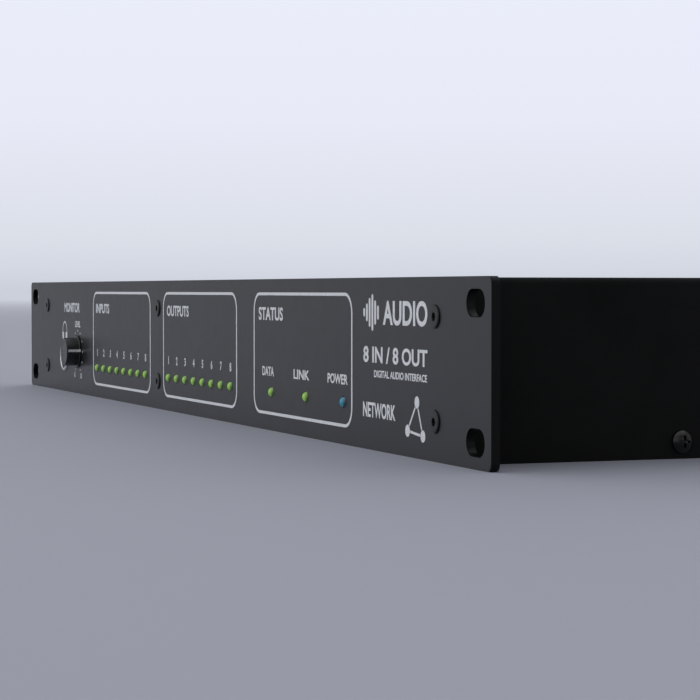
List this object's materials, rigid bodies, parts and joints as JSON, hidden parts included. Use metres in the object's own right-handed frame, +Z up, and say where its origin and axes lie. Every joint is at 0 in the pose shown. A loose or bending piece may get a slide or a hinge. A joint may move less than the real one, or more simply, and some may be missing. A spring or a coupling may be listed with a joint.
{
  "type": "rack audio interface",
  "caption": "Flat rack-width audio interface with slotted ears, level knob, headphone socket, rows of indicator lights, and rear terminal, network and mains sockets.",
  "frame": {"origin": "on the floor plane, below the middle of the overall bounding box", "axes": "+X to the right seen from the front, along the panel; +Y to the rear, the panel faces -Y; +Z up"},
  "size_m": [0.4826, 0.18, 0.044],
  "materials": {
    "panel_paint": "satin",
    "black_screw": "black zinc",
    "chassis_paint": "fine texture",
    "cover_paint": "fine texture",
    "zinc_hardware": "bright zinc",
    "knob_plastic": "gloss",
    "pointer_inlay": "matte",
    "shaft_metal": "turned",
    "pot_can": "pressed steel",
    "black_plastic": "moulded",
    "chrome_ring": "polished",
    "board_green": "solder mask",
    "chip_epoxy": "moulded epoxy",
    "green_lens": "clear tinted",
    "blue_lens": "clear tinted",
    "heatsink_black": "black anodised",
    "board_blue": "solder mask",
    "relay_case": "moulded",
    "capacitor_sleeve": "sleeved",
    "socket_shell": "nickel plated",
    "gold_contact": "gold plated",
    "tinned_pin": "tinned",
    "board_brown": "phenolic",
    "winding_tape": "polyester tape",
    "ferrite_core": "sintered",
    "heatsink_plain": "extruded",
    "enamelled_copper": "enamelled",
    "fuse_caps": "plated",
    "rocker_plastic": "gloss",
    "wire_sleeve": "insulation",
    "earth_sleeve": "insulation",
    "ribbon_sleeve": "insulation"
  },
  "bodies": {
    "chassis": {"front_panel": "panel_paint", "front_panel_screws": "black_screw", "chassis_base": "chassis_paint", "rear_panel": "chassis_paint", "top_cover": "cover_paint", "cover_side_screws": "black_screw", "cover_top_screws": "black_screw", "clinch_nuts": "zinc_hardware", "level_pot": "pot_can", "level_pot_nut": "zinc_hardware", "headphone_jack": "black_plastic", "headphone_jack_ring": "chrome_ring", "monitor_board": "board_green", "monitor_board_standoffs": "zinc_hardware", "headphone_amplifier": "chip_epoxy", "led_board": "board_green", "led_board_pillars": "zinc_hardware", "input_leds": "green_lens", "output_leds": "green_lens", "status_leds": "green_lens", "power_led": "blue_lens", "led_spacers": "black_plastic", "main_board": "board_green", "board_standoffs": "zinc_hardware", "board_screws": "zinc_hardware", "signal_processor": "chip_epoxy", "processor_heatsink": "heatsink_black", "network_module": "board_blue", "network_module_sockets": "black_plastic", "converter_chips": "chip_epoxy", "amplifier_chips": "chip_epoxy", "mute_relays": "relay_case", "filter_capacitors": "capacitor_sleeve", "network_jacks": "socket_shell", "network_jack_contacts": "gold_contact", "output_terminals": "black_plastic", "input_terminals": "black_plastic", "terminal_pins": "tinned_pin", "power_supply_board": "board_brown", "transformer_windings": "winding_tape", "transformer_core": "ferrite_core", "bulk_capacitor": "capacitor_sleeve", "supply_output_capacitors": "capacitor_sleeve", "supply_heatsink": "heatsink_plain", "line_filter_choke": "enamelled_copper", "mains_inlet": "black_plastic", "mains_inlet_blades": "tinned_pin", "mains_inlet_screws": "black_screw", "power_switch": "black_plastic", "mains_wires": "wire_sleeve", "earth_wire": "earth_sleeve", "earth_stud": "zinc_hardware", "ribbon_cable": "ribbon_sleeve", "ribbon_connectors": "black_plastic"},
    "level_control": {"level_knob": "knob_plastic", "level_knob_pointer": "pointer_inlay", "level_pot_shaft": "shaft_metal"},
    "rocker": {"power_rocker": "rocker_plastic"},
    "fuse_tray": {"fuse_drawer": "black_plastic", "mains_fuse": "fuse_caps"}
  },
  "joints": [
    {"name": "knob_turn", "type": "hinge", "parent": "chassis", "child": "level_control", "pos_m": [-0.1556, -0.08436, 0.0165], "axis": [0, -1, 0], "range_deg": [-65, 235]},
    {"name": "rocker_tilt", "type": "hinge", "parent": "chassis", "child": "rocker", "pos_m": [0.146, 0.08404, 0.022], "axis": [1, 0, 0], "range_deg": [-20, 0]},
    {"name": "fuse_drawer_slide", "type": "slide", "parent": "chassis", "child": "fuse_tray", "axis": [0, 1, 0], "range_m": [0, 0.018]}
  ]
}
